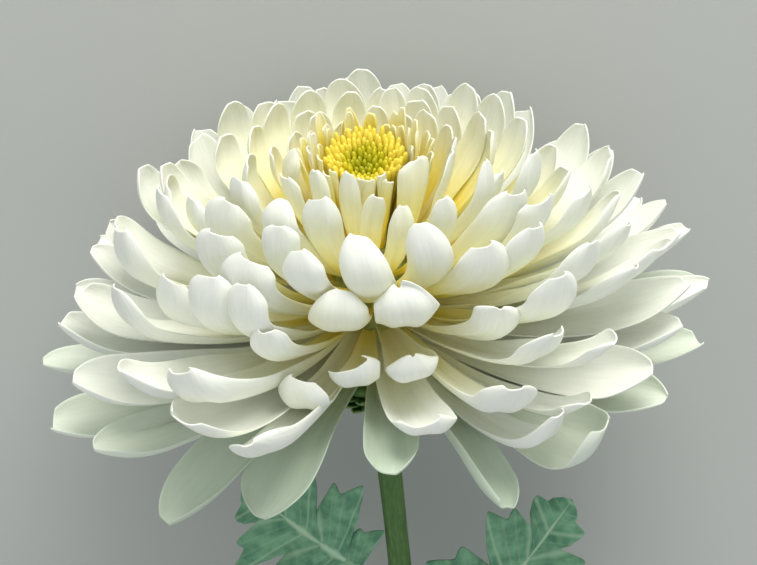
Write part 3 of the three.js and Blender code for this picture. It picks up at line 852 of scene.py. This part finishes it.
def petal_point(form, line, room, across, along):
    """A point of a petal's middle surface. Across runs from -1 to 1 and along from 0 at the foot to 1."""
    length = math.hypot(form["reach"], form["height"])
    notch = form["notch"] / length * math.exp(-(across / NOTCH_WIDTH) ** 2)
    notch *= smooth((along - NOTCH_START) / (1 - NOTCH_START))
    slant = form["slant"]
    share = (along - notch) * (1 - (abs(slant) - slant * across) / 2)
    place, heading = line_point(line, share)

    # The petal's section, no wider than the room at its sides
    half = petal_half_width(form, share)
    curl = petal_curl(form, across, share)
    rolled = petal_section(half, curl, 1)[0]
    half *= min(1, max(SIDE_SHARE * place.x * math.tan(room), LEAST_HALF) / rolled)
    aside, lift = petal_section(half, curl, across)
    lift += petal_relief(form, across, share)

    # Then it is twisted round its middle line, leans aside more and more to its tip, and bows on the way
    twist = math.radians(form["twist"]) * smooth(share / TWIST_END)
    aside, lift = (
        aside * math.cos(twist) - lift * math.sin(twist),
        aside * math.sin(twist) + lift * math.cos(twist),
    )
    aside += form["sway"] * share ** 2 + form["bow"] * math.sin(math.pi * share)
    distance = place.x - math.sin(heading) * lift
    height = place.y + math.cos(heading) * lift
    return LYING @ press(off_axis(distance, aside, height, math.radians(form["azimuth"])))


def from_back(measure, facing):
    """What a measure is multiplied by, where facing is -1 at the back of the bloom and 1 in front."""
    back, front = BACK_AND_FRONT[measure]
    return (back + front) / 2 + (front - back) / 2 * facing


def petal_form(whorl, petal, chance):
    """All the measures of one petal: its whorl's, its own and a little chance."""
    def draw(measure):
        return chance.uniform(*PETAL_CHANCES[measure])

    azimuth, *own = petal
    reach = own[0] if own else whorl["reach"] + draw("reach")
    facing, sideways = math.cos(math.radians(azimuth)), math.sin(math.radians(azimuth))
    height = whorl["height"]
    if whorl["reach"] <= DISC_EDGE:
        height += DISC_TILT * (1 - facing)
    elif height > WHORLS[SINGLE_WHORLS - 1]["height"]:
        height = dome_height(reach) - BACK_FALL * (DOME_EDGE - reach) * (1 - facing)
    form = {
        "azimuth": azimuth + draw("azimuth"),
        "reach": reach,
        "height": own[1] if len(own) > 1 else height + draw("height") * from_back("height", facing),
        "width": whorl["width"] * from_back("width", facing) * draw("width"),
        "turn": whorl["turn"],
        "cup": whorl["cup"] * from_back("cup", facing) * draw("cup"),
        "hood": whorl["hood"] * (from_back("hood", facing) - SIDE_HOOD * sideways) * draw("hood"),
        "hood_start": draw("hood_start"),
        "point": min(1, max(LEAST_POINT, whorl["point"] + SIDE_POINT * sideways + draw("point"))),
        "notch": chance.choice(NOTCHES) * max(0, facing),
        "fold": draw("fold"),
        "lean": draw("lean"),
        "ruffle": draw("ruffle"),
        "waves": draw("waves"),
        "phase": draw("phase"),
        "twist": draw("twist") - whorl["roll"] * sideways * min(1, max(0, facing + 0.5)),
        "sway": draw("sway"),
        "bow": draw("bow"),
        "slant": draw("slant"),
        "yellow": whorl["yellow"] - whorl.get("paling", PALING) * facing,
    }
    form.update(FORMS.get((whorl["name"], azimuth), {}))
    return form


def half_angles(azimuths):
    """Half the angle from each azimuth to its nearest neighbour round the whorl, in radians."""
    count = len(azimuths)
    halves = []
    for i, azimuth in enumerate(azimuths):
        before = (azimuth - azimuths[i - 1]) % 360
        after = (azimuths[(i + 1) % count] - azimuth) % 360
        halves.append(math.radians(min(before, after, WIDEST_ROOM) / 2))
    return halves


def petal_forms(whorl, level):
    """The measures, the middle line and the room at its sides of each petal of a whorl."""
    chance = random.Random(whorl["name"])
    rooms = half_angles([petal[0] for petal in whorl["petals"]])
    for petal, room in zip(whorl["petals"], rooms):
        form = petal_form(whorl, petal, chance)
        yield form, petal_line(form, level), room


def blank_sheet(columns, rows):
    """A flat sheet that is copied and shaped for each petal, bract or leaf."""
    clear_selection()
    bpy.ops.mesh.primitive_grid_add(x_subdivisions=columns, y_subdivisions=rows, size=2)
    return bpy.context.active_object


def shape_petals(whorl, level):
    """One shaped sheet for each petal of a whorl.

    Across a petal, its texture map runs from the petal's number to the next one. Along it, it runs in mm
    from the foot, less what its yellow foot reaches further than usual.
    """
    blank = blank_sheet(*whorl.get("grid", PETAL_GRID))
    sheets = []
    for number, (form, line, room) in enumerate(petal_forms(whorl, level)):
        sheet = copy_with_mesh(blank)
        for vertex in sheet.data.vertices:
            across, along = vertex.co.x, 1 - (1 - (vertex.co.y + 1) / 2) ** ROW_CROWDING
            vertex.co = petal_point(form, line, room, across, along)
        length = sum((after[0] - before[0]).length for before, after in zip(line, line[1:]))
        for corner in sheet.data.uv_layers.active.data:
            corner.uv = (corner.uv.x + number, corner.uv.y * length - form["yellow"])
        sheets.append(sheet)
    bpy.data.objects.remove(blank)
    return sheets


def thicken(piece, thickness):
    """Gives sheets their thickness and rounds them."""
    apply_modifier(piece, "SOLIDIFY", thickness=thickness, offset=0, use_even_offset=False)
    apply_modifier(piece, "SUBSURF", levels=1, render_levels=1)


class CHRYSANTHEMUM_OT_petals(bpy.types.Operator):
    """Build the single petals under and round the bloom, and the joined whorls above them"""

    bl_idname = "chrysanthemum.petals"
    bl_label = "Petals"

    def execute(self, context):
        thickness = context.scene.chrysanthemum_sizes.petal_thickness
        materials = {tone: petal_material(name, tone) for tone, name in PETAL_TONES.items()}
        for i, whorl in enumerate(WHORLS):
            material = materials[whorl.get("tone", WHITE)]
            sheets = shape_petals(whorl, FIRST_HEIGHT + WHORL_STEP * i)
            if i < SINGLE_WHORLS:
                for number, sheet in enumerate(sheets, 1):
                    node = f"{whorl['name']}_{number:02d}"
                    piece = join_pieces([sheet], f"{node}_blade")
                    thicken(piece, thickness)
                    finish_piece(piece, material, node)
            else:
                piece = join_pieces(sheets, f"{whorl['name']}_blades")
                thicken(piece, thickness)
                finish_piece(piece, material, whorl["name"])
        return {"FINISHED"}


def ring_tube(rings, sides, ribs=0, rib_depth=0):
    """A closed tube along +Z through rings of (radius, height, x), its ribs cut in its first ring."""
    (radius, height, aside), *others = rings
    clear_selection()
    bpy.ops.mesh.primitive_circle_add(
        vertices=sides, radius=radius, location=(aside, 0, height), fill_type="NGON",
    )
    piece = bpy.context.active_object
    bpy.ops.object.transform_apply()
    for vertex in piece.data.vertices:
        around = math.atan2(vertex.co.y, vertex.co.x - aside)
        rib = 1 + rib_depth * math.cos(ribs * around)
        vertex.co.x = aside + (vertex.co.x - aside) * rib
        vertex.co.y *= rib
    bpy.ops.object.mode_set(mode="EDIT")
    bpy.ops.mesh.select_all(action="SELECT")
    for next_radius, next_height, next_aside in others:
        bpy.ops.mesh.extrude_region_move(
            TRANSFORM_OT_translate={"value": (next_aside - aside, 0, next_height - height)},
        )
        scale = next_radius / radius
        bpy.ops.transform.resize(
            value=(scale, scale, 1), center_override=(next_aside, 0, next_height),
        )
        radius, height, aside = next_radius, next_height, next_aside
    bpy.ops.object.mode_set(mode="OBJECT")
    face_outwards(piece)
    return piece


def core_height(radius):
    """Height of the domed core's top at a distance from the axis."""
    share = min(1, radius / CORE_RADIUS)
    return CORE_MIDDLE + (CORE_TOP - CORE_MIDDLE) * (1 - share ** CORE_POWER) ** (1 / CORE_POWER)


def disc_height(radius, azimuth):
    """Height of the disc's surface, a shallow bowl that rises towards the back."""
    share = radius / DISC_RADIUS
    return DISC_HEIGHT + DISC_HOLLOW * share ** 2 + DISC_TILT * share * (1 - math.cos(azimuth))


def shape_bud(blank, share, azimuth, size, chance):
    """One unopened floret, from the core to the disc. Share is how far out it is, from 0 to 1, by area.

    Its texture map runs outwards over the disc and up the floret.
    """
    radius = DISC_RADIUS * math.sqrt(share) + chance.uniform(*BUD_CHANCES["radius"])
    height = disc_height(radius, azimuth) + chance.uniform(*BUD_CHANCES["height"])
    width = size / MM * (BUD_INNER + BUD_GAIN * share) * chance.uniform(*BUD_CHANCES["width"])
    foot_radius = radius * DISC_FOOT_SHARE
    foot = off_axis(foot_radius, 0, core_height(foot_radius), azimuth)
    tip = off_axis(radius, 0, height, azimuth)
    turn = (tip - foot).to_track_quat("Z", "Y")
    bud = copy_with_mesh(blank)
    ups = [vertex.co.z for vertex in bud.data.vertices]
    for vertex in bud.data.vertices:
        aside = Vector((vertex.co.x * width, vertex.co.y * width, 0))
        vertex.co = LYING @ (foot.lerp(tip, vertex.co.z) + turn @ aside)
    for corner, loop in zip(bud.data.uv_layers.active.data, bud.data.loops):
        corner.uv = (math.sqrt(share), ups[loop.vertex_index])
    return bud


class CHRYSANTHEMUM_OT_disc(bpy.types.Operator):
    """Build the disc of unopened florets in the middle of the bloom"""

    bl_idname = "chrysanthemum.disc"
    bl_label = "Disc Florets"

    def execute(self, context):
        sizes = context.scene.chrysanthemum_sizes
        chance = random.Random("disc florets")
        blank = ring_tube([(radius, height, 0) for radius, height in BUD_PROFILE], BUD_SIDES)
        count = sizes.disc_floret_count
        buds = [
            shape_bud(blank, (i + 0.5) / count, GOLDEN_ANGLE * i, sizes.disc_floret_width, chance)
            for i in range(count)
        ]
        bpy.data.objects.remove(blank)
        piece = join_pieces(buds, "disc_floret_buds")
        face_outwards(piece)
        finish_piece(piece, disc_material(), "disc_florets")
        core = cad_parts["receptacle"]
        core.data.materials.clear()
        core.data.materials.append(core_material())
        return {"FINISHED"}


def bract_point(row, azimuth, across, along):
    """A point of a bract, which runs outwards under the head and bends up at its tip."""
    distance, height = Vector(row["foot"]).lerp(Vector(row["tip"]), along)
    swell = math.sin(math.pi * along)
    height += row["belly"] * swell + BRACT_HOLLOW * across ** 2 * smooth(along / 0.3)
    taper = math.sqrt(1 - (along * BRACT_TIP) ** BRACT_POWER)
    half = row["width"] / 2 * (BRACT_ENDS + (1 - BRACT_ENDS) * swell) * taper
    return LYING @ off_axis(distance, across * half, height, azimuth)


class CHRYSANTHEMUM_OT_bracts(bpy.types.Operator):
    """Build the cup under the head and its three rows of bracts"""

    bl_idname = "chrysanthemum.bracts"
    bl_label = "Bracts"

    def execute(self, context):
        cup = ring_tube([(radius, height, 0) for radius, height in CUP_PROFILE], CUP_SIDES)
        cup.data.transform(STANDING)
        blank = blank_sheet(*BRACT_GRID)
        parts = []
        for row in BRACT_ROWS:
            for number in range(row["count"]):
                azimuth = 2 * math.pi * (number + row["start"]) / row["count"]
                bract = copy_with_mesh(blank)
                for vertex in bract.data.vertices:
                    vertex.co = bract_point(row, azimuth, vertex.co.x, (vertex.co.y + 1) / 2)
                parts.append(bract)
        bpy.data.objects.remove(blank)
        bracts = join_pieces(parts, "bracts")
        thicken(bracts, BRACT_THICKNESS * MM)
        piece = join_pieces([bracts, cup], "bracts_and_cup")
        finish_piece(piece, bract_material(), "bract_cup")
        return {"FINISHED"}


def stem_offset(height):
    """How far the stem's middle line stands off the flower's axis at a height."""
    top, end = STEM_PROFILE[0][1], STEM_PROFILE[-1][1]
    return STEM_BOW * math.sin(math.pi * (height - top) / (end - top))


def stem_radius(height):
    """The stem's radius at a height, with a swelling where each leaf is attached."""
    bumps = sum(math.exp(-((height - leaf["joint"]) / SWELLING_LENGTH) ** 2) for leaf in LEAVES)
    swelling = STEM_SWELLING * bumps
    for (near, high), (far, low) in zip(STEM_PROFILE, STEM_PROFILE[1:]):
        if height >= low:
            return near + (far - near) * (high - height) / (high - low) + swelling
    return STEM_PROFILE[-1][0] + swelling


class CHRYSANTHEMUM_OT_stem(bpy.types.Operator):
    """Build the ribbed stem with its cut end"""

    bl_idname = "chrysanthemum.stem"
    bl_label = "Stem"

    def execute(self, context):
        top, end = STEM_PROFILE[0][1], STEM_PROFILE[-1][1]
        heights = [end + (top - end) * (i / STEM_RINGS) for i in range(STEM_RINGS + 1)]
        rings = [(stem_radius(height), height, stem_offset(height)) for height in heights]
        piece = ring_tube(rings, STEM_SIDES, STEM_RIBS, STEM_RIB_DEPTH)

        # The cut end shows the pale pith inside a green ring
        bpy.ops.object.mode_set(mode="EDIT")
        bpy.ops.mesh.select_all(action="DESELECT")
        bpy.ops.object.mode_set(mode="OBJECT")
        for face in piece.data.polygons:
            face.select = face.normal.z < -0.9 and face.center.z < end + 0.1
        bpy.ops.object.mode_set(mode="EDIT")
        bpy.ops.mesh.inset(thickness=STEM_BARK)
        bpy.ops.transform.translate(value=(0, 0, PITH_DEPTH))
        bpy.ops.object.mode_set(mode="OBJECT")
        pith = [face.index for face in piece.data.polygons if face.select]
        piece.data.transform(STANDING)
        piece.name = piece.data.name = "stem_skin"
        finish_piece(piece, stem_material(), "stem")
        piece.data.materials.append(pith_material())
        for index in pith:
            piece.data.polygons[index].material_index = 1
            piece.data.polygons[index].use_smooth = False
        return {"FINISHED"}


def leaf_line(leaf):
    """The three points that a leaf's midrib bends between."""
    side = leaf["side"]
    start = Vector((side * LEAF_START + stem_offset(leaf["joint"]), leaf["joint"], 0))
    arch_out, arch_climb = LEAF_ARCH_AT
    middle = start + Vector((side * leaf["out"] * arch_out, leaf["climb"] * arch_climb, LEAF_ARCH))
    end = start + Vector((side * leaf["out"], leaf["climb"], -leaf["hang"]))
    return start, middle, end


def on_bend(corners, share):
    """The place on a leaf's bend between three points, and the directions aside and up from it there."""
    start, middle, end = corners
    before, after = start.lerp(middle, share), middle.lerp(end, share)
    heading = (after - before).normalized()
    aside = heading.cross(Vector((0, 0, 1))).normalized()
    return before.lerp(after, share), aside, aside.cross(heading)


def leaf_edge(share):
    """A point of half a leaf's outline, as parts of the blade's length and of half its width."""
    at = share * (len(LEAF_OUTLINE) - 1)
    first = min(int(at), len(LEAF_OUTLINE) - 2)
    (along, across), (next_along, next_across) = LEAF_OUTLINE[first], LEAF_OUTLINE[first + 1]
    part = at - first
    bulge = LEAF_BULGE * math.sin(math.pi * part)
    return (
        along + (next_along - along) * part,
        across + (next_across - across) * part + bulge,
    )


def leaf_point(leaf, corners, across, share):
    """A point of a leaf's blade. Across runs from -1 to 1, and share from the stalk to the tip."""
    edge_along, edge_across = leaf_edge(share)
    out = abs(across)
    along = share ** LEAF_VEIN_SWEEP * (1 - out) + edge_along * out
    place, aside, normal = on_bend(corners, PETIOLE_SHARE + (1 - PETIOLE_SHARE) * along)
    half = leaf["width"] / 2 * edge_across * out
    lift = LEAF_FOLD * (half / leaf["width"] * 2) ** LEAF_FOLD_POWER
    lift += LEAF_QUILT * math.sin(math.pi * LEAF_VEINS * share) ** 2 * math.sin(math.pi * out)
    lift += LEAF_WAVE * math.sin(2 * math.pi * (LEAF_WAVES * along + leaf["joint"] / WAVE_OFFSET)) * out ** 2
    return place + math.copysign(half, across) * aside + lift * normal


class CHRYSANTHEMUM_OT_leaves(bpy.types.Operator):
    """Build the lobed leaves and their stalks"""

    bl_idname = "chrysanthemum.leaves"
    bl_label = "Leaves"

    def execute(self, context):
        material = leaf_material()
        for leaf in LEAVES:
            corners = leaf_line(leaf)
            blade = blank_sheet(*LEAF_GRID)
            for vertex in blade.data.vertices:
                vertex.co = leaf_point(leaf, corners, vertex.co.x, (vertex.co.y + 1) / 2)
            thicken(blade, LEAF_THICKNESS)

            # The stalk goes on as the midrib under the blade
            rings = [
                (MIDRIB_RADIUS * (1 - MIDRIB_TAPER * i / MIDRIB_RINGS), i, 0) for i in range(MIDRIB_RINGS + 1)
            ]
            rib = ring_tube(rings, MIDRIB_SIDES)
            for vertex in rib.data.vertices:
                share = vertex.co.z / MIDRIB_RINGS * MIDRIB_SHARE
                place, aside, normal = on_bend(corners, share)
                sink = MIDRIB_SINK * smooth((share - PETIOLE_SHARE / 2) / PETIOLE_SHARE)
                vertex.co = place + vertex.co.x * aside + (vertex.co.y - sink) * normal
            piece = join_pieces([blade, rib], f"{leaf['name']}_blade")
            piece.data.transform(LYING)
            finish_piece(piece, material, leaf["name"])
        return {"FINISHED"}


def aim_camera():
    """A camera that looks at the flower as the photograph does, the bloom at the top of the picture."""
    tilt = VIEW_RISE - AXIS_RISE
    towards = Vector((0, -math.sin(tilt), math.cos(tilt)))
    up = Vector((0, -math.cos(tilt), -math.sin(tilt)))
    right = up.cross(towards)
    rolled_up = up * math.cos(VIEW_ROLL) + right * math.sin(VIEW_ROLL)
    rolled_right = right * math.cos(VIEW_ROLL) - up * math.sin(VIEW_ROLL)
    head = LYING.translation
    aside = (IMAGE_WIDTH / 2 - HEAD_PIXEL[0]) / PIXELS_PER_MM * MM
    above = (HEAD_PIXEL[1] - IMAGE_HEIGHT / 2) / PIXELS_PER_MM * MM
    target = head + rolled_right * aside + rolled_up * above
    clear_selection()
    bpy.ops.object.camera_add()
    camera = bpy.context.active_object
    turn = Matrix((rolled_right, rolled_up, towards)).transposed()
    camera.matrix_world = Matrix.Translation(target + towards * VIEW_DISTANCE * MM) @ turn.to_4x4()
    camera.data.sensor_width = SENSOR_WIDTH
    camera.data.lens = SENSOR_WIDTH * VIEW_DISTANCE / (IMAGE_WIDTH / PIXELS_PER_MM)
    camera.data.clip_start = 0.05
    bpy.context.scene.camera = camera


def add_area_light(name, place, side, power, colour):
    """A square soft light that looks at the bloom."""
    clear_selection()
    bpy.ops.object.light_add(type="AREA")
    light = bpy.context.active_object
    light.name = name
    light.location = LYING.translation + Vector(place)
    light.rotation_mode = "QUATERNION"
    light.rotation_quaternion = Vector(place).to_track_quat("Z", "Y")
    light.data.size = side
    light.data.energy = power
    light.data.color = linear(colour)


class CHRYSANTHEMUM_OT_stage(bpy.types.Operator):
    """Add the floor, the soft lights and the camera"""

    bl_idname = "chrysanthemum.stage"
    bl_label = "Stage"

    def execute(self, context):
        colours = context.scene.chrysanthemum_colours
        aim_camera()
        clear_selection()
        bpy.ops.mesh.primitive_plane_add(size=FLOOR_SIDE)
        floor = context.active_object
        floor.name = "floor"
        material, _, shader = new_material("matte_paper_floor", Roughness=0.9)
        shader.inputs["Base Color"].default_value = rgba(colours.floor)
        floor.data.materials.append(material)
        for name, (place, side, power, colour) in LIGHTS.items():
            add_area_light(name, place, side, power, colour)
        world = bpy.data.worlds.new("studio")
        context.scene.world = world
        world.use_nodes = True
        background = world.node_tree.nodes["Background"]
        background.inputs["Color"].default_value = rgba(linear(STUDIO_COLOUR))
        background.inputs["Strength"].default_value = STUDIO_STRENGTH
        context.scene.view_settings.view_transform = "Standard"
        return {"FINISHED"}


class CHRYSANTHEMUM_PT_panel(bpy.types.Panel):
    """Lists the flower's pieces and their sizes and colours."""

    bl_idname = "CHRYSANTHEMUM_PT_panel"
    bl_label = "Chrysanthemum"
    bl_space_type = "VIEW_3D"
    bl_region_type = "UI"
    bl_category = "Chrysanthemum"

    def draw(self, context):
        layout = self.layout
        for group in (context.scene.chrysanthemum_sizes, context.scene.chrysanthemum_colours):
            for name in group.__annotations__:
                layout.prop(group, name)
        for operator in OPERATORS:
            layout.operator(operator.bl_idname)


OPERATORS = (
    CHRYSANTHEMUM_OT_stage,
    CHRYSANTHEMUM_OT_petals,
    CHRYSANTHEMUM_OT_disc,
    CHRYSANTHEMUM_OT_bracts,
    CHRYSANTHEMUM_OT_stem,
    CHRYSANTHEMUM_OT_leaves,
)
CLASSES = (CHRYSANTHEMUM_PG_sizes, CHRYSANTHEMUM_PG_colours, *OPERATORS, CHRYSANTHEMUM_PT_panel)


def register():
    """Registers the classes and puts the settings on the scene."""
    for each in CLASSES:
        bpy.utils.register_class(each)
    bpy.types.Scene.chrysanthemum_sizes = bpy.props.PointerProperty(type=CHRYSANTHEMUM_PG_sizes)
    bpy.types.Scene.chrysanthemum_colours = bpy.props.PointerProperty(type=CHRYSANTHEMUM_PG_colours)


def unregister():
    """Removes what register added."""
    del bpy.types.Scene.chrysanthemum_colours
    del bpy.types.Scene.chrysanthemum_sizes
    for each in reversed(CLASSES):
        bpy.utils.unregister_class(each)


def main():
    """Builds the whole flower."""
    register()
    bpy.ops.chrysanthemum.stage()
    bpy.ops.chrysanthemum.petals()
    bpy.ops.chrysanthemum.disc()
    bpy.ops.chrysanthemum.bracts()
    bpy.ops.chrysanthemum.stem()
    bpy.ops.chrysanthemum.leaves()


if __name__ == "__main__":
    main()
